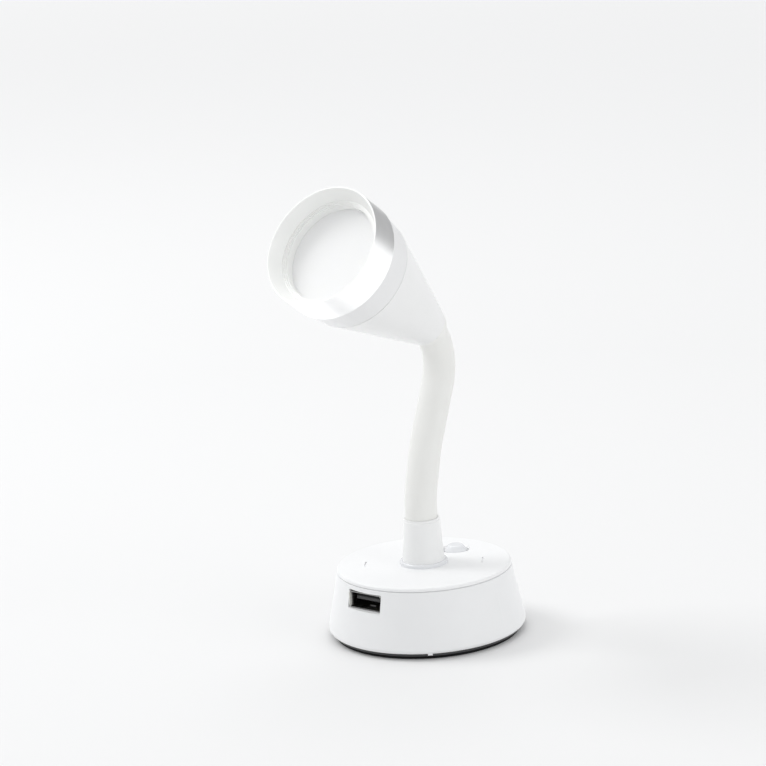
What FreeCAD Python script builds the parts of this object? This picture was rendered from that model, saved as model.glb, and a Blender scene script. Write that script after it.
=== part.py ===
import FreeCAD, Part
import math
import os

V = FreeCAD.Vector

# Lengths are millimetres and angles are degrees.
# The lamp stands on z = 0 with its socket towards -Y and its button towards +Y.

# Base, from the floor up
FOOT_INSET = 2.6
FOOT_H = 1.1
PLATE_INSET = 1.8
FLANGE_H = 0.9
SPIGOT_H = 2.5
BODY_R = 33.8
BODY_TOP_R = 29.4
BODY_H = 21.8
BODY_WALL = 2.2
BODY_ROUND = 1.3
NIB_W = 1.6
NIB_H = 0.4
NIB_T = 0.8
NIB_COUNT = 3
NIB_ANGLE = -50.0
DECK_W = 4.4
DECK_T = 1.6
BALLAST_EDGE = 2.0
BALLAST_H = 4.0
BALLAST_HOLE_R = 6.0

# Cover on top of the base
COVER_T = 1.4
COVER_ROUND = 0.7
SEAM = 0.3
SEAM_W = 0.5
MARK_INSET = 9.4
MARK_W = 0.6
MARK_DEEP = 0.4
MARK_SWEEP_ANGLE = 18.0
MARK_ANGLE = 36.0
BOSS_INSET = 4.5
BOSS_R = 3.2
BOSS_SHOULDER_R = 3.9
BOSS_ANGLES = (30.0, 150.0, 210.0, 330.0)

# Screws through the bottom plate
SCREW_R = 1.3
SCREW_L = 9.0
SCREW_HEAD_R = 2.6
SCREW_HEAD_H = 1.4
SCREW_DRIVE_R = 1.1
SCREW_DRIVE_DEEP = 0.8

# Socket for a plug, in the front of the base
USB_W = 13.14
USB_H = 5.7
USB_LONG = 14.0
USB_WALL = 0.3
USB_INSET = 0.8
USB_DROP = 6.0
USB_X = -2.2
USB_SIDE_GAP = 0.7
USB_LIP_L = 1.2
USB_LIP_OUT = 0.5
USB_LIP_EASE = 0.6
USB_OVER_GAP = 0.35
USB_UNDER_GAP = 0.15
USB_ROUND = 0.5
TONGUE_W = 11.1
TONGUE_T = 1.6
TONGUE_UP = 0.5
TONGUE_BACK = 2.4
USB_BLOCK_L = 4.0
USB_DIMPLE_W = 2.4
USB_DIMPLE_L = 3.0
USB_DIMPLE_H = 0.25
CONTACT_W = 1.0
CONTACT_T = 0.2
CONTACT_XS = (-3.5, -1.0, 1.0, 3.5)

# Circuit board and what it carries
BOARD_INSET = 0.5
BOARD_T = 1.6
CHIP_X = 11.5
CHIP_Y = 1.0
CHIP_W = 5.0
CHIP_D = 4.0
CHIP_H = 1.5
COIL_R = 3.0
COIL_H = 3.6
CAP_Y = 13.0
CAP_X = 9.5
CAP_W = 3.2
CAP_D = 1.8
CAP_H = 1.4
SWITCH_W = 6.0
SWITCH_H = 2.8
SWITCH_BORE_R = 1.85
SWITCH_BORE_DEEP = 2.2

# Push button
BUTTON_INSET = 7.5
BUTTON_R = 3.9
BUTTON_TOP_R = 2.5
BUTTON_SINK = 0.3
BUTTON_RISE = 1.6
BUTTON_ROUND = 1.0
BUTTON_FLANGE_R = 5.1
BUTTON_FLANGE_T = 1.6
WELL_R = 4.55
WELL_DEEP = 1.2
WELL_T = 1.0
WELL_CHAMFER = 0.5
PLUNGER_L = 2.9

# Foot of the neck
COLLAR_R = 8.15
COLLAR_H = 1.2
COLLAR_ROUND = 0.5
FERRULE_R = 7.1
FERRULE_TOP_R = 6.25
FERRULE_H = 14.8
FERRULE_LIP_H = 0.8
FERRULE_LIP = 0.2
FERRULE_ROUND = 0.25
FERRULE_WAIST_R = 6.0
THREAD_R = 4.5
THREAD_TAIL = 2.0
NUT_FLATS = 13.0
NUT_T = 3.0
NUT_SIDES = 6
SLEEVE_GRIP = 10.0

# Neck: a row of links that turn on domes
SLEEVE_R = 5.45
SLEEVE_BORE_R = 3.5
DOME_GAP = 0.3
ROOT_RISE = 6.7
LINK_L = 8.6
BEND_ANGLES = (-14.5, 0.0, -8.5, 0.0, 0.0, 24.0, 26.0, 26.9)
WIRE_R = 1.1
LEAD_R = 0.5
LEAD_X = 1.75
WIRE_TAIL = 5.0
CRIMP_L = 3.6
CRIMP_BACK = 1.0
WIRE_REACH = 10.0
turn_share = 0.48

# Head, measured forward from the last turning point
HEAD_L = 65.3
BEZEL_L = 11.0
BAND_L = 9.7
HEAD_R = 21.05
BAND_INSET = 0.3
CONE_INSET = 1.45
CONE_WALL = 1.8
TAIL_R = 7.2
TAIL_ROUND = 0.3
TAIL_SOLID = 7.2
BAND_ROUND = 0.25
BAND_SPIGOT_L = 3.1
BAND_SPIGOT_T = 1.25
BEZEL_LIP = 0.5
BEZEL_STEP = 0.45
BEZEL_STEPS = 3
LIP_INSET = 0.65
LIP_DEEP = 5.8
LENS_DEEP = 8.3
LENS_INSET = 3.55
LENS_T = 2.0
GASKET_W = 1.5
GASKET_T = 1.2
RETAINER_W = 1.9
RETAINER_T = 2.0
RETAINER_NOTCH = 1.6
BEZEL_SPIGOT_L = 4.3
BEZEL_SPIGOT_T = 1.0
REFLECTOR_INSET = 2.1
reflector_low_share = 0.4
REFLECTOR_T = 0.9
LEDGE_BACK = 11.7
LEDGE_W = 2.1
LEDGE_L = 8.4
SINK_GAP = 1.0
SINK_T = 6.0
FIN_L = 7.0
FIN_T = 1.2
fin_step_share = 0.32
FIN_COUNT = 5
FIN_CLEAR = 0.8
SINK_HOLE_R = 3.6
LED_BOARD_INSET = 0.2
LED_BOARD_T = 1.6
led_share = 0.31
LED_H = 1.0
led_screw_share = 0.79
LED_SCREW_R = 0.95
LED_SCREW_L = 5.0
LED_SCREW_HEAD_R = 1.7
LED_SCREW_HEAD_H = 1.2
LED_SCREW_COUNT = 3

# Clearances: small between still pieces, larger where something moves
FIT = 0.1
REST_GAP = 0.3
OVERRUN = 2.0

# Heights that follow from the sizes above
BODY_Z = FOOT_H + FLANGE_H
SPIGOT_TOP = BODY_Z + SPIGOT_H
BALLAST_TOP = SPIGOT_TOP + BALLAST_H
COVER_TOP = BODY_Z + BODY_H
SHELL_TOP = COVER_TOP - COVER_T
DECK_Z = SHELL_TOP - DECK_T
USB_Z = COVER_TOP - USB_DROP
BOARD_TOP = USB_Z - USB_H / 2
BOARD_Z = BOARD_TOP - BOARD_T
SWITCH_TOP = BOARD_TOP + SWITCH_H
WELL_FLOOR = COVER_TOP - WELL_DEEP
WELL_UNDER = WELL_FLOOR - WELL_T
FLANGE_TOP = WELL_UNDER - REST_GAP
PLUNGER_TOP = FLANGE_TOP - BUTTON_FLANGE_T
COLLAR_TOP = COVER_TOP + COLLAR_H
FERRULE_TOP = COLLAR_TOP + FERRULE_H
NUT_Z = SHELL_TOP - NUT_T
THREAD_Z = NUT_Z - THREAD_TAIL
SLEEVE_SEAT = FERRULE_TOP - SLEEVE_GRIP
JOINT_Z = FERRULE_TOP + ROOT_RISE
CUP_R = SLEEVE_R + DOME_GAP
CUP_RIM = math.sqrt(CUP_R ** 2 - SLEEVE_R ** 2)
BEZEL_Z = HEAD_L - BEZEL_L
BAND_Z = BEZEL_Z - BAND_L
LENS_Z = HEAD_L - LENS_DEEP
LENS_BACK = LENS_Z - LENS_T
GASKET_BACK = LENS_BACK - GASKET_T
RETAINER_BACK = GASKET_BACK - RETAINER_T
SINK_Z = BAND_Z - LEDGE_BACK
LED_BOARD_Z = SINK_Z + SINK_T
LED_BOARD_TOP = LED_BOARD_Z + LED_BOARD_T
SCREW_SEAT = FOOT_H + SCREW_HEAD_H + FIT

# Radii of the base that follow
FOOT_R = BODY_R - FOOT_INSET
PLATE_R = BODY_R - PLATE_INSET
DECK_R = BODY_TOP_R - DECK_W
BOARD_R = DECK_R - BOARD_INSET
BOSS_RING_R = DECK_R - BOSS_INSET
BALLAST_R = BOSS_RING_R + BOSS_R + BALLAST_EDGE
MARK_R = BODY_TOP_R - MARK_INSET
BUTTON_Y = DECK_R - BUTTON_INSET
drop_share = (USB_DROP - USB_H / 2) / BODY_H
USB_FRONT = BODY_TOP_R + (BODY_R - BODY_TOP_R) * drop_share - USB_INSET

# Radii of the head that follow
BAND_R = HEAD_R - BAND_INSET
CONE_R = HEAD_R - CONE_INSET
LENS_R = HEAD_R - LENS_INSET
LIP_R = LENS_R - LIP_INSET
GASKET_IN_R = LENS_R - GASKET_W
RETAINER_IN_R = LENS_R - RETAINER_W
REFLECTOR_TOP_R = LENS_R - REFLECTOR_INSET
BEZEL_BORE_R = LENS_R + FIT
BEZEL_SPIGOT_R = BEZEL_BORE_R + BEZEL_SPIGOT_T
sink_share = (SINK_Z - CUP_RIM) / (BAND_Z - CUP_RIM)
SINK_R = TAIL_R + (CONE_R - TAIL_R) * sink_share - CONE_WALL - SINK_GAP
LEDGE_IN_R = SINK_R - LEDGE_W
FIN_STEP = LEDGE_IN_R * fin_step_share
LED_BOARD_R = SINK_R - LED_BOARD_INSET
LED_R = SINK_R * led_share
LED_SCREW_RING_R = SINK_R * led_screw_share
REFLECTOR_LOW_R = SINK_R * reflector_low_share

X_AXIS = V(1, 0, 0)
Y_AXIS = V(0, 1, 0)
Z_AXIS = V(0, 0, 1)
ORIGIN = V(0, 0, 0)
FULL_TURN = 360.0


def body_radius(z):
    slope_share = (BODY_R - BODY_TOP_R) / BODY_H
    return BODY_R - slope_share * (z - BODY_Z)


def cone_radius(z):
    slope_share = (CONE_R - TAIL_R) / (BAND_Z - CUP_RIM)
    return TAIL_R + slope_share * (z - CUP_RIM)


def rounded_corner(before, corner, after, radius):
    # The start, middle and end of the arc that rounds one corner.
    back = (before - corner).normalize()
    on = (after - corner).normalize()
    half = back.getAngle(on) / 2
    middle = (back + on).normalize()
    run = radius / math.tan(half)
    deep = radius / math.sin(half) - radius
    return corner + back * run, corner + middle * deep, corner + on * run


def chain(points, radii, closed):
    # Straight edges through the points, with an arc where a radius is given.
    edges = []
    count = len(points)
    last = None
    first = None
    for i, point in enumerate(points):
        start = mid = end = point
        inner = closed or 0 < i < count - 1
        if inner and radii[i] > 0:
            start, mid, end = rounded_corner(points[i - 1], point, points[(i + 1) % count], radii[i])
        if last is None:
            first = start
        elif (start - last).Length > 0:
            edges.append(Part.LineSegment(last, start).toShape())
        if mid is not point:
            edges.append(Part.Arc(start, mid, end).toShape())
        last = end
    if closed:
        edges.append(Part.LineSegment(last, first).toShape())
    return Part.Wire(edges)


def turned(corners):
    # A solid turned about Z from corners of (radius, height, rounding).
    points = [V(r, 0, z) for r, z, rounding in corners]
    radii = [rounding for r, z, rounding in corners]
    face = Part.Face(chain(points, radii, True))
    return face.revolve(ORIGIN, Z_AXIS, FULL_TURN)


def ring(outer, inner, low, high):
    return turned([(inner, low, 0), (outer, low, 0), (outer, high, 0), (inner, high, 0)])


def rod(radius, low, high, x=0, y=0):
    return Part.makeCylinder(radius, high - low, V(x, y, low), Z_AXIS)


def block(width, depth, low, high, x=0, y=0):
    # A box centred on x and y.
    return Part.makeBox(width, depth, high - low, V(x - width / 2, y - depth / 2, low))


def around(shape, turn):
    copy = shape.copy()
    copy.rotate(ORIGIN, Z_AXIS, turn)
    return copy


def boss_spots():
    spots = []
    for turn in BOSS_ANGLES:
        angle = math.radians(turn)
        spots.append((BOSS_RING_R * math.cos(angle), BOSS_RING_R * math.sin(angle)))
    return spots


def joint_frames():
    # Where each neck joint lies, and how far its upper link leans forward.
    frames = []
    y = 0
    z = JOINT_Z
    lean = 0
    for bend in BEND_ANGLES:
        lean += bend
        frames.append((y, z, lean))
        y -= LINK_L * math.sin(math.radians(lean))
        z += LINK_L * math.cos(math.radians(lean))
    return frames


def placed(shape, frame):
    # Moves a shape built along Z from a joint to where that joint lies.
    y, z, lean = frame
    copy = shape.copy()
    copy.rotate(ORIGIN, X_AXIS, lean)
    copy.translate(V(0, y, z))
    return copy


def in_head(shape):
    return placed(shape, joint_frames()[-1])


# Base

def rubber_foot():
    return rod(FOOT_R, 0, FOOT_H)


def bottom_plate():
    spigot_r = body_radius(SPIGOT_TOP) - BODY_WALL - REST_GAP
    plate = turned([
        (0, FOOT_H, 0),
        (PLATE_R, FOOT_H, 0),
        (PLATE_R, BODY_Z, 0),
        (spigot_r, BODY_Z, 0),
        (spigot_r, SPIGOT_TOP, 0),
        (0, SPIGOT_TOP, 0),
    ])
    for x, y in boss_spots():
        plate = plate.cut(rod(SCREW_R + FIT, FOOT_H, SPIGOT_TOP + OVERRUN, x, y))
        plate = plate.cut(rod(SCREW_HEAD_R + FIT, FOOT_H - OVERRUN, SCREW_SEAT, x, y))
    return plate


def bottom_screws():
    screws = []
    for x, y in boss_spots():
        screw = rod(SCREW_HEAD_R, SCREW_SEAT - SCREW_HEAD_H, SCREW_SEAT, x, y)
        screw = screw.fuse(rod(SCREW_R, SCREW_SEAT, SCREW_SEAT + SCREW_L, x, y))
        drive_low = SCREW_SEAT - SCREW_HEAD_H - OVERRUN
        drive_high = SCREW_SEAT - SCREW_HEAD_H + SCREW_DRIVE_DEEP
        screw = screw.cut(rod(SCREW_DRIVE_R, drive_low, drive_high, x, y))
        screws.append(screw.removeSplitter())
    return Part.makeCompound(screws)


def ballast_weight():
    weight = ring(BALLAST_R, BALLAST_HOLE_R, SPIGOT_TOP, BALLAST_TOP)
    for x, y in boss_spots():
        weight = weight.cut(rod(BOSS_R + REST_GAP, 0, BALLAST_TOP + OVERRUN, x, y))
    return weight


def usb_window():
    width = USB_W + 2 * USB_SIDE_GAP
    low = USB_Z - USB_H / 2 - USB_UNDER_GAP
    high = USB_Z + USB_H / 2 + USB_OVER_GAP
    far = BODY_R + OVERRUN
    near = USB_FRONT - USB_LONG
    hole = block(width, far - near, low, high, USB_X, -(far + near) / 2)
    deep_edges = []
    for edge in hole.Edges:
        along = edge.tangentAt(edge.FirstParameter)
        if abs(along.y) > abs(along.x) + abs(along.z):
            deep_edges.append(edge)
    return hole.makeFillet(USB_ROUND, deep_edges)


def base_body():
    body = turned([
        (BODY_R, BODY_Z, BODY_ROUND),
        (body_radius(SHELL_TOP), SHELL_TOP, SEAM),
        (DECK_R, SHELL_TOP, 0),
        (DECK_R, DECK_Z, 0),
        (body_radius(DECK_Z) - BODY_WALL, DECK_Z, 0),
        (BODY_R - BODY_WALL, BODY_Z, 0),
    ])
    nib_in = PLATE_R + FIT
    for k in range(NIB_COUNT):
        nib = Part.makeBox(NIB_T, NIB_W, 2 * NIB_H, V(nib_in, -NIB_W / 2, BODY_Z - NIB_H))
        body = body.fuse(around(nib, NIB_ANGLE + k * FULL_TURN / NIB_COUNT))
    return body.cut(usb_window()).removeSplitter()


def cover_marks():
    half = MARK_W / 2
    low = COVER_TOP - MARK_DEEP
    deep = MARK_DEEP + OVERRUN
    marks = []
    for side in range(2):
        turn = MARK_ANGLE - MARK_SWEEP_ANGLE / 2 + side * FULL_TURN / 2
        outer = Part.makeCylinder(MARK_R + half, deep, V(0, 0, low), Z_AXIS, MARK_SWEEP_ANGLE)
        inner = Part.makeCylinder(MARK_R - half, deep, V(0, 0, low), Z_AXIS, FULL_TURN)
        marks.append(around(outer.cut(inner), turn))
    return marks


def top_cover():
    seat_r = body_radius(SHELL_TOP) - SEAM_W
    cover = turned([
        (0, SHELL_TOP, 0),
        (seat_r, SHELL_TOP, 0),
        (seat_r, SHELL_TOP + SEAM, 0),
        (body_radius(SHELL_TOP + SEAM), SHELL_TOP + SEAM, 0),
        (BODY_TOP_R, COVER_TOP, COVER_ROUND),
        (0, COVER_TOP, 0),
    ])
    for x, y in boss_spots():
        cover = cover.fuse(rod(BOSS_SHOULDER_R, BOARD_TOP, SHELL_TOP + FIT, x, y))
        cover = cover.fuse(rod(BOSS_R, SPIGOT_TOP, BOARD_TOP + FIT, x, y))
        cover = cover.cut(rod(SCREW_R + FIT, 0, SCREW_SEAT + SCREW_L + OVERRUN, x, y))
    cover = cover.fuse(rod(WELL_R + WELL_T, WELL_UNDER, SHELL_TOP + FIT, 0, BUTTON_Y))
    cover = cover.cut(rod(WELL_R, WELL_FLOOR, COVER_TOP + OVERRUN, 0, BUTTON_Y))
    bevel = Part.makeCone(WELL_R, WELL_R + WELL_CHAMFER, WELL_CHAMFER,
                          V(0, BUTTON_Y, COVER_TOP - WELL_CHAMFER), Z_AXIS)
    cover = cover.cut(bevel)
    cover = cover.cut(rod(BUTTON_R + REST_GAP, 0, COVER_TOP + OVERRUN, 0, BUTTON_Y))
    cover = cover.cut(rod(THREAD_R + FIT, 0, COVER_TOP + OVERRUN))
    for mark in cover_marks():
        cover = cover.cut(mark)
    return cover.removeSplitter()


# Socket and circuit board

def usb_lips(low, high):
    """The two sides of the shell's mouth, bent outwards to guide a plug in."""
    lips = []
    for side in (-1, 1):
        inner = USB_X + side * (USB_W / 2 - USB_WALL)
        outer = USB_X + side * USB_W / 2
        root, tip = -(USB_FRONT - USB_LIP_L), -USB_FRONT
        out = side * USB_LIP_OUT
        spots = ((inner, root), (outer, root), (outer + out, tip), (inner + out, tip), (inner, root))
        face = Part.Face(Part.makePolygon([V(x, y, low) for x, y in spots]))
        lips.append(face.extrude(V(0, 0, high - low)))
    return lips


def usb_shell():
    middle = -(USB_FRONT - USB_LONG / 2)
    low = USB_Z - USB_H / 2
    high = USB_Z + USB_H / 2
    shell = block(USB_W, USB_LONG, low, high, USB_X, middle)
    inside_w = USB_W - 2 * USB_WALL
    bore_long = USB_LONG + 2 * OVERRUN
    shell = shell.cut(block(inside_w, bore_long, low + USB_WALL, high - USB_WALL, USB_X, middle))
    dimple_y = -(USB_FRONT - TONGUE_BACK - USB_DIMPLE_L)
    dimple = block(USB_DIMPLE_W, USB_DIMPLE_L, low, low + USB_WALL + USB_DIMPLE_H, USB_X, dimple_y)
    lip_low, lip_high = low + USB_LIP_EASE, high - USB_LIP_EASE
    cut_long = USB_LIP_L + OVERRUN
    cut_y = -(USB_FRONT - USB_LIP_L + cut_long / 2)
    shell = shell.cut(block(USB_W + 2 * OVERRUN, cut_long, lip_low, lip_high, USB_X, cut_y))
    return shell.fuse([dimple] + usb_lips(lip_low, lip_high)).removeSplitter()


def usb_tongue():
    back = -(USB_FRONT - USB_LONG)
    block_w = USB_W - 2 * USB_WALL - 2 * FIT
    block_h = USB_H / 2 - USB_WALL - FIT
    body = block(block_w, USB_BLOCK_L, USB_Z - block_h, USB_Z + block_h, USB_X, back - USB_BLOCK_L / 2)
    long = USB_LONG - TONGUE_BACK
    low = USB_Z + TONGUE_UP - TONGUE_T / 2
    tongue = block(TONGUE_W, long, low, low + TONGUE_T, USB_X, back - long / 2)
    return body.fuse(tongue).removeSplitter()


def usb_contacts():
    high = USB_Z + TONGUE_UP - TONGUE_T / 2
    long = USB_LONG - TONGUE_BACK - USB_BLOCK_L - CONTACT_W
    middle = -(USB_FRONT - USB_LONG + USB_BLOCK_L + long / 2)
    strips = [block(CONTACT_W, long, high - CONTACT_T, high, USB_X + x, middle) for x in CONTACT_XS]
    return Part.makeCompound(strips)


def circuit_board():
    board = rod(BOARD_R, BOARD_Z, BOARD_TOP)
    for x, y in boss_spots():
        board = board.cut(rod(BOSS_R + FIT, 0, BOARD_TOP + OVERRUN, x, y))
    return board


def board_parts():
    parts = [block(CHIP_W, CHIP_D, BOARD_TOP, BOARD_TOP + CHIP_H, CHIP_X, CHIP_Y)]
    parts.append(rod(COIL_R, BOARD_TOP, BOARD_TOP + COIL_H, -CHIP_X, CHIP_Y))
    for side in (1, -1):
        parts.append(block(CAP_W, CAP_D, BOARD_TOP, BOARD_TOP + CAP_H, side * CAP_X, CAP_Y))
    return Part.makeCompound(parts)


# Button

def switch_body():
    body = block(SWITCH_W, SWITCH_W, BOARD_TOP, SWITCH_TOP, 0, BUTTON_Y)
    return body.cut(rod(SWITCH_BORE_R, SWITCH_TOP - SWITCH_BORE_DEEP, SWITCH_TOP + OVERRUN, 0, BUTTON_Y))


def switch_plunger():
    return rod(SWITCH_BORE_R - REST_GAP, PLUNGER_TOP - PLUNGER_L, PLUNGER_TOP, 0, BUTTON_Y)


def power_button():
    button = turned([
        (0, PLUNGER_TOP, 0),
        (BUTTON_FLANGE_R, PLUNGER_TOP, 0),
        (BUTTON_FLANGE_R, FLANGE_TOP, 0),
        (BUTTON_R, FLANGE_TOP, 0),
        (BUTTON_R, COVER_TOP - BUTTON_SINK, 0),
        (BUTTON_TOP_R, COVER_TOP + BUTTON_RISE, BUTTON_ROUND),
        (0, COVER_TOP + BUTTON_RISE, 0),
    ])
    button.translate(V(0, BUTTON_Y, 0))
    return button


# Foot of the neck

def stem_collar():
    return turned([
        (FERRULE_WAIST_R + FIT, COVER_TOP, 0),
        (COLLAR_R, COVER_TOP, 0),
        (COLLAR_R, COLLAR_TOP, COLLAR_ROUND),
        (FERRULE_WAIST_R + FIT, COLLAR_TOP, 0),
    ])


def neck_ferrule():
    lip_z = FERRULE_TOP - FERRULE_LIP_H
    return turned([
        (SLEEVE_BORE_R, THREAD_Z, 0),
        (THREAD_R, THREAD_Z, 0),
        (THREAD_R, COVER_TOP, 0),
        (FERRULE_WAIST_R, COVER_TOP, 0),
        (FERRULE_WAIST_R, COLLAR_TOP, 0),
        (FERRULE_R, COLLAR_TOP, 0),
        (FERRULE_TOP_R, lip_z, FERRULE_ROUND),
        (FERRULE_TOP_R - FERRULE_LIP, lip_z, 0),
        (FERRULE_TOP_R - FERRULE_LIP, FERRULE_TOP, 0),
        (SLEEVE_R + FIT, FERRULE_TOP, 0),
        (SLEEVE_R + FIT, SLEEVE_SEAT, 0),
        (SLEEVE_BORE_R, SLEEVE_SEAT, 0),
    ])


def ferrule_nut():
    corner_r = NUT_FLATS / 2 / math.cos(math.pi / NUT_SIDES)
    points = []
    for k in range(NUT_SIDES + 1):
        angle = 2 * math.pi * k / NUT_SIDES
        points.append(V(corner_r * math.cos(angle), corner_r * math.sin(angle), NUT_Z))
    nut = Part.Face(Part.makePolygon(points)).extrude(V(0, 0, NUT_T))
    return nut.cut(rod(THREAD_R + FIT, 0, COVER_TOP))


def crimp(low, high):
    # A plug around the stiff wire and the two leads.
    plug = rod(SLEEVE_BORE_R - FIT, low, high)
    plug = plug.cut(rod(WIRE_R + FIT, low - OVERRUN, high + OVERRUN))
    slot_h = 2 * (LEAD_R + FIT)
    return plug.cut(block(2 * LEAD_X + slot_h, slot_h, low - OVERRUN, high + OVERRUN))


def lower_crimp():
    return crimp(SLEEVE_SEAT - WIRE_TAIL, SLEEVE_SEAT - WIRE_TAIL + CRIMP_L)


# Neck

def sleeve(low_points, joint_z):
    # A sleeve whose top is a dome about the next joint.
    rise = math.sqrt(SLEEVE_R ** 2 - SLEEVE_BORE_R ** 2)
    half = math.asin(rise / SLEEVE_R) / 2
    middle = V(SLEEVE_R * math.cos(half), 0, joint_z + SLEEVE_R * math.sin(half))
    equator = V(SLEEVE_R, 0, joint_z)
    top = V(SLEEVE_BORE_R, 0, joint_z + rise)
    edges = low_points[:-1]
    inner, outer = low_points[-1]
    edges.append(Part.LineSegment(outer, equator).toShape())
    edges.append(Part.Arc(equator, middle, top).toShape())
    edges.append(Part.LineSegment(top, inner).toShape())
    face = Part.Face(Part.Wire(Part.__sortEdges__(edges)))
    return face.revolve(ORIGIN, Z_AXIS, FULL_TURN)


def cup_edge():
    # The hollow lower end that turns on the dome below it.
    low = math.asin(CUP_RIM / CUP_R)
    high = math.acos(SLEEVE_BORE_R / CUP_R)
    middle = (low + high) / 2
    outer = V(SLEEVE_R, 0, CUP_RIM)
    inner = V(SLEEVE_BORE_R, 0, CUP_R * math.sin(high))
    arc = Part.Arc(inner, V(CUP_R * math.cos(middle), 0, CUP_R * math.sin(middle)), outer)
    return arc.toShape(), inner, outer


def neck_sleeve_root():
    inner = V(SLEEVE_BORE_R, 0, SLEEVE_SEAT)
    outer = V(SLEEVE_R, 0, SLEEVE_SEAT)
    return sleeve([Part.LineSegment(inner, outer).toShape(), (inner, outer)], JOINT_Z)


def neck_link():
    edge, inner, outer = cup_edge()
    return sleeve([edge, (inner, outer)], LINK_L)


def neck_line(start_z, reach, x):
    # The line a wire follows, from a height in the base to a reach in the head.
    frames = joint_frames()
    points = [V(x, 0, start_z)]
    radii = [0]
    for (y, z, lean), bend in zip(frames, BEND_ANGLES):
        points.append(V(x, y, z))
        half = math.radians(abs(bend)) / 2
        radii.append(turn_share * LINK_L / math.tan(half) if half > 0 else 0)
    y, z, lean = frames[-1]
    angle = math.radians(lean)
    points.append(V(x, y - reach * math.sin(angle), z + reach * math.cos(angle)))
    radii.append(0)
    return chain(points, radii, False)


def wire(radius, start_z, reach, x):
    end = Part.Wire(Part.makeCircle(radius, V(x, 0, start_z), Z_AXIS))
    return neck_line(start_z, reach, x).makePipeShell([end], True, False)


def stiff_wire():
    return wire(WIRE_R, SLEEVE_SEAT - WIRE_TAIL, WIRE_REACH, 0)


def lead(side):
    return wire(LEAD_R, BOARD_TOP, LED_BOARD_Z, side * LEAD_X)


# Head

def head_cone():
    cup_top = math.sqrt(CUP_R ** 2 - SLEEVE_BORE_R ** 2)
    floor_z = cup_top + TAIL_SOLID - CUP_RIM
    ledge_low = SINK_Z - LEDGE_L
    cone = turned([
        (SLEEVE_BORE_R, CUP_RIM, 0),
        (TAIL_R, CUP_RIM, TAIL_ROUND),
        (CONE_R, BAND_Z, 0),
        (CONE_R - CONE_WALL, BAND_Z, 0),
        (cone_radius(SINK_Z) - CONE_WALL, SINK_Z, 0),
        (LEDGE_IN_R, SINK_Z, 0),
        (LEDGE_IN_R, ledge_low, 0),
        (cone_radius(floor_z) - CONE_WALL, floor_z, 0),
        (SLEEVE_BORE_R, floor_z, 0),
    ])
    return in_head(cone.cut(Part.makeSphere(CUP_R)))


def head_band():
    spigot_low = BAND_Z - BAND_SPIGOT_L
    spigot_r = cone_radius(spigot_low) - CONE_WALL - FIT
    bore_z = BEZEL_Z - BEZEL_SPIGOT_L - FIT
    spigot_in = spigot_r - BAND_SPIGOT_T
    band = turned([
        (spigot_in, spigot_low, 0),
        (spigot_r, spigot_low, 0),
        (spigot_r, BAND_Z, 0),
        (CONE_R, BAND_Z, BAND_ROUND),
        (BAND_R, BEZEL_Z, BAND_ROUND),
        (BEZEL_SPIGOT_R + FIT, BEZEL_Z, 0),
        (BEZEL_SPIGOT_R + FIT, bore_z, 0),
        (spigot_in, bore_z, 0),
    ])
    return in_head(band)


def bezel_ring():
    spigot_z = BEZEL_Z - BEZEL_SPIGOT_L
    corners = [
        (BEZEL_BORE_R, spigot_z, 0),
        (BEZEL_SPIGOT_R, spigot_z, 0),
        (BEZEL_SPIGOT_R, BEZEL_Z, 0),
        (HEAD_R, BEZEL_Z, BAND_ROUND),
        (HEAD_R, HEAD_L, FIT),
        (HEAD_R - BEZEL_LIP, HEAD_L, FIT),
    ]
    z = HEAD_L - LIP_DEEP + BEZEL_STEPS * BEZEL_STEP
    r = LIP_R + BEZEL_STEPS * BEZEL_STEP
    corners.append((r, z, 0))
    for k in range(BEZEL_STEPS):
        corners.append((r - BEZEL_STEP, z, 0))
        r -= BEZEL_STEP
        z -= BEZEL_STEP
        corners.append((r, z, 0))
    corners.pop()
    corners.append((r, LENS_Z, 0))
    corners.append((BEZEL_BORE_R, LENS_Z, 0))
    return in_head(turned(corners))


def diffuser():
    return in_head(rod(LENS_R, LENS_BACK, LENS_Z))


def lens_gasket():
    return in_head(ring(LENS_R, GASKET_IN_R, GASKET_BACK, LENS_BACK))


def lens_retainer():
    body = ring(LENS_R, RETAINER_IN_R, RETAINER_BACK, GASKET_BACK)
    notch_z = RETAINER_BACK + RETAINER_T / 2
    notch = block(2 * LENS_R + OVERRUN, RETAINER_NOTCH, RETAINER_BACK - OVERRUN, notch_z)
    return in_head(body.cut(notch))


def reflector():
    low = LED_BOARD_TOP
    top = RETAINER_BACK
    cup = turned([
        (REFLECTOR_LOW_R, low, 0),
        (REFLECTOR_LOW_R + REFLECTOR_T, low, 0),
        (REFLECTOR_TOP_R + REFLECTOR_T, top - REFLECTOR_T, 0),
        (LENS_R, top - REFLECTOR_T, 0),
        (LENS_R, top, 0),
        (REFLECTOR_TOP_R, top, 0),
    ])
    return in_head(cup)


def led_screw_spots():
    spots = []
    for k in range(LED_SCREW_COUNT):
        angle = 2 * math.pi * k / LED_SCREW_COUNT
        spots.append((LED_SCREW_RING_R * math.cos(angle), LED_SCREW_RING_R * math.sin(angle)))
    return spots


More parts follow.
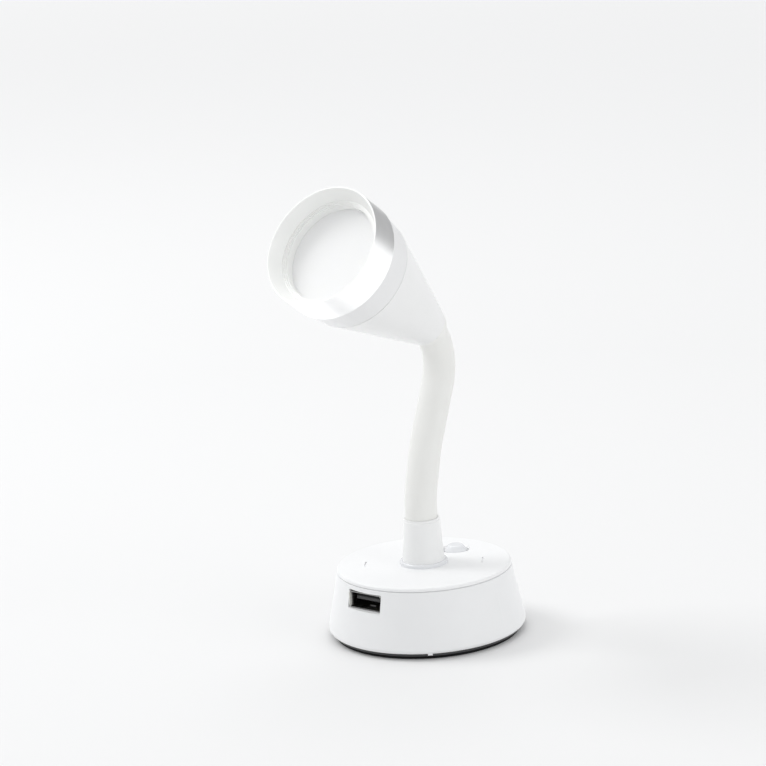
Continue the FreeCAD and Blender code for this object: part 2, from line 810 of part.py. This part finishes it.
def heat_sink():
    sink = rod(SINK_R, SINK_Z, LED_BOARD_Z)
    fin_low = SINK_Z - FIN_L
    bundle = rod(LEDGE_IN_R - FIN_CLEAR, fin_low, SINK_Z)
    for k in range(FIN_COUNT):
        y = (k - (FIN_COUNT - 1) / 2) * FIN_STEP
        fin = block(2 * LEDGE_IN_R, FIN_T, fin_low, SINK_Z + FIT, 0, y)
        sink = sink.fuse(fin.common(bundle.fuse(rod(SINK_R, SINK_Z, LED_BOARD_Z))))
    sink = sink.cut(rod(SINK_HOLE_R, 0, HEAD_L))
    for x, y in led_screw_spots():
        sink = sink.cut(rod(LED_SCREW_R + FIT, LED_BOARD_TOP - LED_SCREW_L - FIT, HEAD_L, x, y))
    return in_head(sink.removeSplitter())


def led_board():
    board = rod(LED_BOARD_R, LED_BOARD_Z, LED_BOARD_TOP)
    for x, y in led_screw_spots():
        board = board.cut(rod(LED_SCREW_R + FIT, 0, HEAD_L, x, y))
    return in_head(board)


def led_chip():
    return in_head(rod(LED_R, LED_BOARD_TOP, LED_BOARD_TOP + LED_H))


def led_screws():
    screws = []
    for x, y in led_screw_spots():
        screw = rod(LED_SCREW_HEAD_R, LED_BOARD_TOP, LED_BOARD_TOP + LED_SCREW_HEAD_H, x, y)
        screw = screw.fuse(rod(LED_SCREW_R, LED_BOARD_TOP - LED_SCREW_L, LED_BOARD_TOP, x, y))
        screws.append(in_head(screw.removeSplitter()))
    return Part.makeCompound(screws)


def upper_crimp():
    low = math.sqrt(CUP_R ** 2 - SLEEVE_BORE_R ** 2) + CRIMP_BACK
    return in_head(crimp(low, low + CRIMP_L))


os.makedirs("parts", exist_ok=True)

nodes = {
    "rubber_foot": rubber_foot(),
    "bottom_plate": bottom_plate(),
    "bottom_screws": bottom_screws(),
    "ballast_weight": ballast_weight(),
    "base_body": base_body(),
    "top_cover": top_cover(),
    "usb_shell": usb_shell(),
    "usb_tongue": usb_tongue(),
    "usb_contacts": usb_contacts(),
    "circuit_board": circuit_board(),
    "board_parts": board_parts(),
    "switch_body": switch_body(),
    "switch_plunger": switch_plunger(),
    "power_button": power_button(),
    "stem_collar": stem_collar(),
    "neck_ferrule": neck_ferrule(),
    "ferrule_nut": ferrule_nut(),
    "lower_crimp": lower_crimp(),
    "neck_sleeve_root": neck_sleeve_root(),
    "stiff_wire": stiff_wire(),
    "lead_left": lead(-1),
    "lead_right": lead(1),
    "head_cone": head_cone(),
    "head_band": head_band(),
    "bezel_ring": bezel_ring(),
    "diffuser": diffuser(),
    "lens_gasket": lens_gasket(),
    "lens_retainer": lens_retainer(),
    "reflector": reflector(),
    "heat_sink": heat_sink(),
    "led_board": led_board(),
    "led_chip": led_chip(),
    "led_screws": led_screws(),
    "upper_crimp": upper_crimp(),
}

for number, frame in enumerate(joint_frames()[:-1], 1):
    nodes["neck_sleeve_%d" % number] = placed(neck_link(), frame)

for name, shape in nodes.items():
    shape.exportStep("parts/%s.step" % name)
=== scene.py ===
import math

import bmesh
import bpy
from mathutils import Matrix, Vector


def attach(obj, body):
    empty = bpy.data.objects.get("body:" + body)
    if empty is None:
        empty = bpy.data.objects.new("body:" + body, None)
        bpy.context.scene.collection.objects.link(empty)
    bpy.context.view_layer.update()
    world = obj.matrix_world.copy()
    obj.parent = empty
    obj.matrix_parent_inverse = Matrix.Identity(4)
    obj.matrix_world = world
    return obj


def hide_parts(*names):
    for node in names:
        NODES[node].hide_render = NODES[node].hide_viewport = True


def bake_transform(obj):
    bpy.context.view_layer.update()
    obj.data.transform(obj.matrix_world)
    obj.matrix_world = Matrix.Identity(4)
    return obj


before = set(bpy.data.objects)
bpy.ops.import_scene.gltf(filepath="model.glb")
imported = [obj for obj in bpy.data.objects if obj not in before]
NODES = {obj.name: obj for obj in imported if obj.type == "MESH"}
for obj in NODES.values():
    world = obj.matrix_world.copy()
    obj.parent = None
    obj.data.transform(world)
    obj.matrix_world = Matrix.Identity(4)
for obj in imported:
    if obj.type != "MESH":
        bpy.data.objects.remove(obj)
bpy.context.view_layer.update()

MM = 0.001
X_AXIS, Z_AXIS = 0, 2

# Camera: where the photograph was taken from, in millimetres and degrees
CAM_AZIMUTH = 40.0
CAM_ELEVATION = 13.894
CAM_ROLL = -3.519
CAM_DISTANCE = 1100.0
CAM_UP = 83.77
CAM_SIDE = -15.29
CAM_LENS = 151.72
CAM_SENSOR = 36.0
CAM_NEAR = 10.0
CAM_FAR = 20000.0

# Neck, with the same sizes as the CAD, in millimetres and degrees
SLEEVE_R = 5.45
SLEEVE_WALL = 1.3
LINK_L = 8.6
REST_BENDS = (-14.5, 0.0, -8.5, 0.0, 0.0, 24.0, 26.0, 26.9)
HEAD_LEAN = sum(REST_BENDS)
JOINT_Z = 46.5
FERRULE_TOP = 39.8
SLEEVE_SUNK = 6.0

# Neck as it looks: its flare at the cone's rim, its seams and its rings of points
TAIL_RIM = 1.75
RIM_ROOM = 0.3
FLARE_R = 7.0
FLARE_L = 4.6
STRAIGHT = 0.01
RINGS = 14
ROOT_RINGS = 4
SIDES = 64

# Ring of the head: the radius past which it is bare metal, in millimetres, and its colour inside
RING_BARE_R = 20.96
RING_EDGE = 0.05
RING_INSIDE = (0.9, 0.905, 0.89, 1)

# Socket: its middle, half its width inside and at the bent lips, the lit copy of the steel painted on the
# lips, and the heights where painted shade darkens the tongue
SOCKET_X = -2.2
SOCKET_WALL = 6.4
SOCKET_LIP = 6.5
# The lips are painted as a lighter, less metallic copy of the steel: a painted highlight beside the painted
# shade inside
LIT_LIP_COLOUR = (0.74, 0.74, 0.7)
LIT_LIP_METAL = 0.2
# Above these heights the tongue is painted near-black, as painted shade under the socket's top
TONGUE_LIT_Z = 18.3
TONGUE_SHADE_Z = 18.65
TONGUE_PAINTED_SHADE = (0.004, 0.004, 0.004)

# Floor, in metres, and the light that it and the backdrop give
FLOOR_SIZE = 12.0
FLOOR_DROP = 0.0001
FLOOR_TONE = 0.78
FLOOR_ROUGH = 0.9
FLOOR_SPECULAR = 0.1
FLOOR_NEAR = 0.4
FLOOR_FAR = 2.3
FLOOR_NEAR_GLOW = 0.02
FLOOR_FAR_GLOW = 0.31
FLOOR_SHINE = 0.44
WORLD_COLOUR = (0.985, 0.992, 1.0, 1)
WORLD_LIGHT = 0.8
WORLD_SEEN = 0.935
WORLD_SHADE = 0.5
SHADE_BEHIND = (0.3, 0.85)
SHADE_ABOVE = (0.2, 0.55)

# Lamps: name, place to the right, above and towards the camera, and size, in metres; power in watts
LAMP_AIM = Vector((0, -0.01, 0.08))
LAMPS = (
    ("key", -0.9, 1.0, -0.35, 0.65, 6.4),
    ("fill", 0.9, 0.5, 0.6, 0.9, 2.1),
    ("top", 0.0, 1.1, -0.4, 0.8, 2.2),
)

# Noise that the looks are made with: the part of its range that is used, and the detail of the grain
NOISE_LOW = 0.25
NOISE_HIGH = 0.75
BLOTCH_DETAIL = (3.0, 0.5)
GRAIN_DETAIL = (4.0, 0.6)
SUB_RADIUS = (0.002, 0.002, 0.0018)
FINE = 0.00004

# Looks: two colours, a range of roughness, and the grain as its count to the metre and its depth in metres
LOOKS = {
    "body": dict(name="moulded_white", dark=(0.81, 0.815, 0.82), light=(0.84, 0.845, 0.85),
                 rough=(0.4, 0.52), grain=2200),
    "cover": dict(name="cover_white", dark=(0.84, 0.845, 0.85), light=(0.865, 0.868, 0.87),
                  rough=(0.36, 0.46), grain=2600),
    "stem": dict(name="stem_white", dark=(0.82, 0.825, 0.82), light=(0.85, 0.852, 0.85),
                 rough=(0.4, 0.5), grain=2400),
    "head": dict(name="head_white", dark=(0.8, 0.802, 0.8), light=(0.83, 0.832, 0.83),
                 rough=(0.38, 0.5), grain=2400),
    "band": dict(name="band_white", dark=(0.78, 0.782, 0.785), light=(0.81, 0.812, 0.815),
                 rough=(0.36, 0.46), grain=2400),
    "trim": dict(name="gloss_white", dark=(0.75, 0.76, 0.78), light=(0.78, 0.79, 0.805),
                 rough=(0.16, 0.26), grain=1500, depth=0.00002, coat=0.3),
    "silicone": dict(name="silicone_sleeve", dark=(0.8, 0.8, 0.775), light=(0.84, 0.84, 0.82),
                     rough=(0.55, 0.72), grain=1600, depth=0.00006, strength=0.35, blotch=140.0, sheen=0.35),
    "rubber": dict(name="black_rubber", dark=(0.006, 0.006, 0.007), light=(0.014, 0.014, 0.015),
                   rough=(0.6, 0.85), grain=1400, depth=0.0001, strength=0.6, specular=0.06),
    "black": dict(name="black_plastic", dark=(0.014, 0.014, 0.015), light=(0.026, 0.026, 0.028),
                  rough=(0.35, 0.55), grain=2000),
    "tongue": dict(name="socket_tongue_painted_shade", dark=(0.075, 0.075, 0.076), light=(0.105, 0.105, 0.107),
                   rough=(0.3, 0.5), grain=2000, specular=0.12),
    # The socket steel is made darker than bare steel, as painted shade for the socket's depth
    "usb": dict(name="socket_steel_painted_shade_and_highlight", dark=(0.2, 0.2, 0.2), light=(0.27, 0.27, 0.265),
                rough=(0.22, 0.42), grain=1400, depth=0.00003, strength=0.4, metal=1.0, stretch=(1, 14, 1)),
    "ring": dict(name="brushed_aluminium", dark=(0.83, 0.832, 0.832), light=(0.89, 0.892, 0.892),
                 rough=(0.27, 0.33), grain=1500, depth=0.000008, strength=0.1, metal=1.0,
                 stretch=(18, 18, 1), turn=(math.radians(HEAD_LEAN), 0, 0)),
    "diffuser": dict(name="frosted_diffuser", dark=(0.868, 0.87, 0.868), light=(0.895, 0.897, 0.895),
                     rough=(0.45, 0.6), grain=1800, strength=0.2, sub=0.2),
    "steel": dict(name="plain_steel", dark=(0.42, 0.42, 0.43), light=(0.52, 0.52, 0.53),
                  rough=(0.25, 0.45), grain=1200, strength=0.4, metal=1.0),
    "iron": dict(name="cast_ballast", dark=(0.2, 0.2, 0.21), light=(0.3, 0.3, 0.31),
                 rough=(0.5, 0.75), grain=700, depth=0.0002, strength=0.6, metal=1.0),
    "brass": dict(name="brass", dark=(0.68, 0.5, 0.2), light=(0.78, 0.6, 0.28),
                  rough=(0.22, 0.4), grain=1300, strength=0.4, metal=1.0),
    "board": dict(name="board_green", dark=(0.02, 0.12, 0.05), light=(0.035, 0.17, 0.075),
                  rough=(0.25, 0.4), grain=1100),
    "chips": dict(name="component_black", dark=(0.02, 0.02, 0.02), light=(0.035, 0.035, 0.035),
                  rough=(0.4, 0.6), grain=1500),
    "red": dict(name="red_lead", dark=(0.4, 0.03, 0.025), light=(0.5, 0.05, 0.04),
                rough=(0.35, 0.5), grain=1500),
    "sink": dict(name="cast_aluminium", dark=(0.6, 0.6, 0.61), light=(0.7, 0.7, 0.71),
                 rough=(0.3, 0.5), grain=1300, strength=0.4, metal=1.0),
    "mirror": dict(name="reflector_white", dark=(0.88, 0.88, 0.88), light=(0.92, 0.92, 0.92),
                   rough=(0.1, 0.2), grain=1300),
    "phosphor": dict(name="phosphor", dark=(0.82, 0.62, 0.1), light=(0.88, 0.7, 0.16),
                     rough=(0.4, 0.6), grain=2000),
}

# The pieces of the CAD that have each look
NODE_LOOKS = {
    "body": ("base_body",),
    "cover": ("top_cover",),
    "stem": ("neck_ferrule",),
    "head": ("head_cone",),
    "band": ("head_band",),
    "trim": ("stem_collar", "power_button"),
    "rubber": ("rubber_foot", "lens_gasket"),
    "black": ("bottom_plate", "switch_body", "lens_retainer", "lead_right"),
    "tongue": ("usb_tongue",),
    "usb": ("usb_shell",),
    "ring": ("bezel_ring",),
    "diffuser": ("diffuser",),
    "steel": ("bottom_screws", "led_screws", "ferrule_nut", "switch_plunger", "stiff_wire"),
    "iron": ("ballast_weight",),
    "brass": ("usb_contacts", "lower_crimp", "upper_crimp"),
    "board": ("circuit_board",),
    "chips": ("board_parts",),
    "red": ("lead_left",),
    "sink": ("heat_sink", "led_board"),
    "mirror": ("reflector",),
    "phosphor": ("led_chip",),
    "silicone": tuple("neck_sleeve_%s" % k for k in ("root", 1, 2, 3, 4, 5, 6, 7)),
}


def camera():
    # Gives the camera's right and the direction from the lamp towards it.
    a = math.radians(CAM_AZIMUTH)
    e = math.radians(CAM_ELEVATION)
    roll = math.radians(CAM_ROLL)
    level_right = Vector((math.cos(a), math.sin(a), 0))
    toward = Vector((math.sin(a) * math.cos(e), -math.cos(a) * math.cos(e), math.sin(e)))
    level_up = toward.cross(level_right)
    right = level_right * math.cos(roll) + level_up * math.sin(roll)
    up = level_up * math.cos(roll) - level_right * math.sin(roll)
    data = bpy.data.cameras.new("camera")
    data.lens = CAM_LENS
    data.sensor_width = CAM_SENSOR
    data.clip_start = CAM_NEAR * MM
    data.clip_end = CAM_FAR * MM
    obj = bpy.data.objects.new("camera", data)
    bpy.context.scene.collection.objects.link(obj)
    place = (toward * CAM_DISTANCE + up * CAM_UP + right * CAM_SIDE) * MM
    turn = Matrix((right, up, toward)).transposed().to_4x4()
    obj.matrix_world = Matrix.Translation(place) @ turn
    bpy.context.scene.camera = obj
    return right, toward


# Shader nodes

def feed(tree, value, socket):
    # The value is another node's output, or a plain number, vector or colour.
    if isinstance(value, bpy.types.NodeSocket):
        tree.links.new(value, socket)
    else:
        socket.default_value = value


def calc(tree, operation, *values):
    node = tree.nodes.new("ShaderNodeMath")
    node.operation = operation
    for value, socket in zip(values, node.inputs):
        feed(tree, value, socket)
    return node.outputs[0]


def vector_calc(tree, operation, *values):
    node = tree.nodes.new("ShaderNodeVectorMath")
    node.operation = operation
    for value, socket in zip(values, node.inputs):
        feed(tree, value, socket)
    return node.outputs["Value" if operation == "LENGTH" else "Vector"]


def mix(tree, kind, share, first, second):
    node = tree.nodes.new("ShaderNodeMix")
    node.data_type = kind
    feed(tree, share, node.inputs["Factor"])
    feed(tree, first, node.inputs["A"])
    feed(tree, second, node.inputs["B"])
    return node.outputs["Result"]


def ramp(tree, value, low, high, start, end):
    node = tree.nodes.new("ShaderNodeMapRange")
    node.inputs["From Min"].default_value = low
    node.inputs["From Max"].default_value = high
    node.inputs["To Min"].default_value = start
    node.inputs["To Max"].default_value = end
    tree.links.new(value, node.inputs["Value"])
    return node.outputs["Result"]


def noise(tree, coords, scale, detail):
    node = tree.nodes.new("ShaderNodeTexNoise")
    node.inputs["Scale"].default_value = scale
    node.inputs["Detail"].default_value = detail[0]
    node.inputs["Roughness"].default_value = detail[1]
    tree.links.new(coords, node.inputs["Vector"])
    return node.outputs["Fac"]


def bump(tree, shader, height, strength, distance):
    node = tree.nodes.new("ShaderNodeBump")
    node.inputs["Strength"].default_value = strength
    node.inputs["Distance"].default_value = distance
    tree.links.new(height, node.inputs["Height"])
    tree.links.new(node.outputs["Normal"], shader.inputs["Normal"])


def object_coords(tree):
    return tree.nodes.new("ShaderNodeTexCoord").outputs["Object"]


def placed_coords(tree, location=(0, 0, 0), rotation=(0, 0, 0), scale=(1, 1, 1)):
    node = tree.nodes.new("ShaderNodeMapping")
    node.vector_type = "TEXTURE"
    node.inputs["Location"].default_value = location
    node.inputs["Rotation"].default_value = rotation
    node.inputs["Scale"].default_value = scale
    tree.links.new(object_coords(tree), node.inputs["Vector"])
    return node.outputs["Vector"]


def ray(tree, kind):
    return tree.nodes.new("ShaderNodeLightPath").outputs[kind]


def seen_rays(tree):
    # One for rays from the camera and for rays that mirror or pass through, else zero.
    found = ray(tree, "Is Camera Ray")
    for kind in ("Is Glossy Ray", "Is Transmission Ray"):
        found = calc(tree, "MAXIMUM", found, ray(tree, kind))
    return found


# Materials

def new_material(name):
    mat = bpy.data.materials.new(name)
    mat.use_nodes = True
    return mat, mat.node_tree, mat.node_tree.nodes["Principled BSDF"]


def surface(name, dark, light, rough, grain, depth=FINE, strength=0.3, metal=0.0, blotch=90.0,
            stretch=None, turn=(0, 0, 0), specular=0.5, coat=0.0, sub=0.0, sheen=0.0):
    # The colour wanders slowly; a fine grain, stretched on brushed metal, gives the roughness and the bump.
    mat, tree, shader = new_material(name)
    coords = object_coords(tree)
    slow = noise(tree, coords, blotch, BLOTCH_DETAIL)
    if stretch is not None:
        coords = placed_coords(tree, rotation=turn, scale=stretch)
    fine = noise(tree, coords, grain, GRAIN_DETAIL)
    tree.links.new(mix(tree, "RGBA", slow, (*dark, 1), (*light, 1)), shader.inputs["Base Color"])
    tree.links.new(ramp(tree, fine, NOISE_LOW, NOISE_HIGH, *rough), shader.inputs["Roughness"])
    bump(tree, shader, fine, strength, depth)
    shader.inputs["Metallic"].default_value = metal
    shader.inputs["Specular IOR Level"].default_value = specular
    shader.inputs["Coat Weight"].default_value = coat
    shader.inputs["Sheen Weight"].default_value = sheen
    if sub:
        shader.inputs["Subsurface Weight"].default_value = sub
        shader.inputs["Subsurface Radius"].default_value = SUB_RADIUS
        shader.inputs["Subsurface Scale"].default_value = 1.0
    return mat


def base_colour(shader):
    return shader.inputs["Base Color"].links[0].from_socket


def satin_inside(mat):
    # The ring is bare metal outside; inside, from its rim down, it is satin and pale.
    tree = mat.node_tree
    shader = tree.nodes["Principled BSDF"]
    place = joint_frames()[-1][0]
    local = placed_coords(tree, location=place * MM, rotation=(math.radians(HEAD_LEAN), 0, 0))
    apart = vector_calc(tree, "LENGTH", vector_calc(tree, "MULTIPLY", local, (1, 1, 0)))
    outside = ramp(tree, apart, RING_BARE_R * MM, (RING_BARE_R + RING_EDGE) * MM, 0.0, 1.0)
    tree.links.new(outside, shader.inputs["Metallic"])
    colour = mix(tree, "RGBA", outside, RING_INSIDE, base_colour(shader))
    tree.links.new(colour, shader.inputs["Base Color"])


def paint_along(mat, axis, middle, start, end, colour, metal=None):
    # Fades to another colour between two distances from a place on an axis, all in millimetres; used to
    # paint highlight and shade onto the socket and its tongue.
    tree = mat.node_tree
    shader = tree.nodes["Principled BSDF"]
    parts = tree.nodes.new("ShaderNodeSeparateXYZ")
    tree.links.new(object_coords(tree), parts.inputs[0])
    apart = calc(tree, "ABSOLUTE", calc(tree, "SUBTRACT", parts.outputs[axis], middle * MM))
    share = ramp(tree, apart, start * MM, end * MM, 0.0, 1.0)
    painted = mix(tree, "RGBA", share, base_colour(shader), (*colour, 1))
    tree.links.new(painted, shader.inputs["Base Color"])
    if metal is not None:
        tree.links.new(ramp(tree, apart, start * MM, end * MM, *metal), shader.inputs["Metallic"])


def dress_nodes(looks):
    for look, names in NODE_LOOKS.items():
        for name in names:
            data = NODES[name].data
            data.materials.clear()
            data.materials.append(looks[look])


# Neck sleeve

def heading(lean):
    a = math.radians(lean)
    return Vector((0, -math.sin(a), math.cos(a)))


def forward(lean):
    a = math.radians(lean)
    return Vector((0, -math.cos(a), -math.sin(a)))


def joint_frames():
    # Each joint's place at rest, with the leans of the links below and above it.
    frames = []
    point = Vector((0, 0, JOINT_Z))
    lean = 0.0
    for bend in REST_BENDS:
        frames.append((point.copy(), lean, lean + bend))
        lean += bend
        point = point + heading(lean) * LINK_L
    return frames


def arc_line(joint, before, after, run):
    # Points and leans from mid-link to mid-link, on an arc that touches both links.
    bend = after - before
    line = []
    start = joint - heading(before) * run
    for k in range(RINGS):
        share = k / (RINGS - 1)
        lean = before + bend * share
        if abs(bend) < STRAIGHT:
            line.append((start + heading(before) * 2 * run * share, lean))
            continue
        radius = run / math.tan(math.radians(bend) / 2)
        centre = start + forward(before) * radius
        line.append((centre - forward(lean) * radius, lean))
    return line


def ring_of_points(bm, point, lean, radius):
    across = Vector((1, 0, 0))
    points = []
    for k in range(SIDES):
        a = 2 * math.pi * k / SIDES
        spot = point + across * (radius * math.cos(a)) + forward(lean) * (radius * math.sin(a))
        points.append(bm.verts.new(spot * MM))
    return points


def tube(name, line, outer, inner):
    # A closed tube along a line, with an outer and an inner radius at each point.
    mesh = bpy.data.meshes.new(name)
    bm = bmesh.new()
    outside = [ring_of_points(bm, *spot, radius) for spot, radius in zip(line, outer)]
    inside = [ring_of_points(bm, *spot, radius) for spot, radius in zip(line, inner)]
    order = outside + inside[::-1]
    for k, low in enumerate(order):
        high = order[(k + 1) % len(order)]
        for j in range(SIDES):
            n = (j + 1) % SIDES
            bm.faces.new((low[j], high[j], high[n], low[n]))
    bmesh.ops.recalc_face_normals(bm, faces=bm.faces)
    for face in bm.faces:
        face.smooth = True
    for end in (outside[0], outside[-1], inside[0], inside[-1]):
        for j in range(SIDES):
            bm.edges.get((end[j], end[(j + 1) % SIDES])).smooth = False
    bm.to_mesh(mesh)
    bm.free()
    obj = bpy.data.objects.new(name, mesh)
    bpy.context.scene.collection.objects.link(obj)
    return obj


def sleeve_root(look, high):
    low = Vector((0, 0, FERRULE_TOP - SLEEVE_SUNK))
    line = [(low.lerp(high, k / (ROOT_RINGS - 1)), 0.0) for k in range(ROOT_RINGS)]
    root = tube("sleeve_root", line, [SLEEVE_R] * ROOT_RINGS, [SLEEVE_R - SLEEVE_WALL] * ROOT_RINGS)
    root.data.materials.append(look)
    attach(root, "base")
    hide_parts("neck_sleeve_root")


def flared_end(line, rim, lean):
    # The last bend stops at the cone's rim and widens to meet it.
    kept = [(p, l) for p, l in line if (p - rim).dot(heading(lean)) < -RIM_ROOM]
    line = kept + [(rim, lean)]
    outer = []
    for point, _ in line:
        share = max(0.0, 1 - (rim - point).length / FLARE_L)
        outer.append(SLEEVE_R + (FLARE_R - SLEEVE_R) * share * share * (3 - 2 * share))
    return line, outer


def sleeve_pieces(look):
    frames = joint_frames()
    run = LINK_L / 2
    sleeve_root(look, frames[0][0] - heading(0) * run)
    for k, (joint, before, after) in enumerate(frames):
        line = arc_line(joint, before, after, run)
        outer = [SLEEVE_R] * RINGS
        nodes = ["neck_sleeve_%d" % (k + 1)]
        if k == 0:
            nodes += ["stiff_wire", "lead_left", "lead_right"]
        if k == len(frames) - 1:
            line, outer = flared_end(line, joint + heading(after) * TAIL_RIM, after)
            nodes = []
        piece = tube("sleeve_bend_%d" % (k + 1), line, outer, [r - SLEEVE_WALL for r in outer])
        piece.data.materials.append(look)
        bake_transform(piece)
        if nodes:
            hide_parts(*nodes)


# Floor and light

def floor():
    bpy.ops.mesh.primitive_plane_add(size=FLOOR_SIZE, location=(0, 0, -FLOOR_DROP))
    plane = bpy.context.object
    plane.name = "floor"
    mat, tree, shader = new_material("floor_paper")
    shader.inputs["Base Color"].default_value = (FLOOR_TONE, FLOOR_TONE, FLOOR_TONE, 1)
    shader.inputs["Roughness"].default_value = FLOOR_ROUGH
    shader.inputs["Specular IOR Level"].default_value = FLOOR_SPECULAR
    # Seen rays find a floor that is a little brighter far away, and mirrored rays one brighter still.
    apart = vector_calc(tree, "LENGTH", object_coords(tree))
    far_glow = ramp(tree, apart, FLOOR_NEAR, FLOOR_FAR, FLOOR_NEAR_GLOW, FLOOR_FAR_GLOW)
    level = calc(tree, "MULTIPLY", seen_rays(tree), far_glow)
    level = calc(tree, "MULTIPLY_ADD", ray(tree, "Is Glossy Ray"), FLOOR_SHINE, level)
    glow = tree.nodes.new("ShaderNodeEmission")
    glow.inputs["Color"].default_value = (1, 1, 1, 1)
    tree.links.new(level, glow.inputs["Strength"])
    both = tree.nodes.new("ShaderNodeAddShader")
    tree.links.new(shader.outputs[0], both.inputs[0])
    tree.links.new(glow.outputs[0], both.inputs[1])
    tree.links.new(both.outputs[0], tree.nodes["Material Output"].inputs["Surface"])
    plane.data.materials.append(mat)


def world_light():
    world = bpy.data.worlds.new("studio")
    bpy.context.scene.world = world
    world.use_nodes = True
    tree = world.node_tree
    back = tree.nodes["Background"]
    back.inputs["Color"].default_value = WORLD_COLOUR
    # Mirrored rays see a darker room low behind the lamp, where the paper ends.
    axes = tree.nodes.new("ShaderNodeSeparateXYZ")
    tree.links.new(tree.nodes.new("ShaderNodeTexCoord").outputs["Generated"], axes.inputs[0])
    behind = ramp(tree, axes.outputs["Y"], *SHADE_BEHIND, 0.0, WORLD_SHADE)
    low = ramp(tree, axes.outputs["Z"], *SHADE_ABOVE, 1.0, 0.0)
    shade = calc(tree, "MULTIPLY", ray(tree, "Is Glossy Ray"), behind)
    shade = calc(tree, "MULTIPLY", shade, low)
    seen = ramp(tree, shade, 0.0, 1.0, WORLD_SEEN, 0.0)
    level = mix(tree, "FLOAT", seen_rays(tree), WORLD_LIGHT, seen)
    tree.links.new(level, back.inputs["Strength"])


def lamp(name, place, size, power):
    data = bpy.data.lights.new(name, "AREA")
    data.shape = "DISK"
    data.size = size
    data.energy = power
    obj = bpy.data.objects.new(name, data)
    bpy.context.scene.collection.objects.link(obj)
    obj.location = place
    obj.rotation_euler = (LAMP_AIM - place).to_track_quat("-Z", "Y").to_euler()


def lights(right, toward):
    above = Vector((0, 0, 1))
    flat = Vector((toward.x, toward.y, 0)).normalized()
    for name, aside, up, near, size, power in LAMPS:
        lamp(name, LAMP_AIM + right * aside + above * up + flat * near, size, power)


right, toward = camera()
looks = {key: surface(**values) for key, values in LOOKS.items()}
satin_inside(looks["ring"])
# The socket's bent lips are painted as a bright lit copy of the steel, and its depth is dark steel as
# painted shade; the upper part of the tongue is painted dark too, as painted shade.
paint_along(looks["usb"], X_AXIS, SOCKET_X, SOCKET_WALL, SOCKET_LIP, LIT_LIP_COLOUR, metal=(1.0, LIT_LIP_METAL))
paint_along(looks["tongue"], Z_AXIS, 0, TONGUE_LIT_Z, TONGUE_SHADE_Z, TONGUE_PAINTED_SHADE)
dress_nodes(looks)
sleeve_pieces(looks["silicone"])
floor()
world_light()
lights(right, toward)
bpy.context.scene.view_settings.view_transform = "Standard"
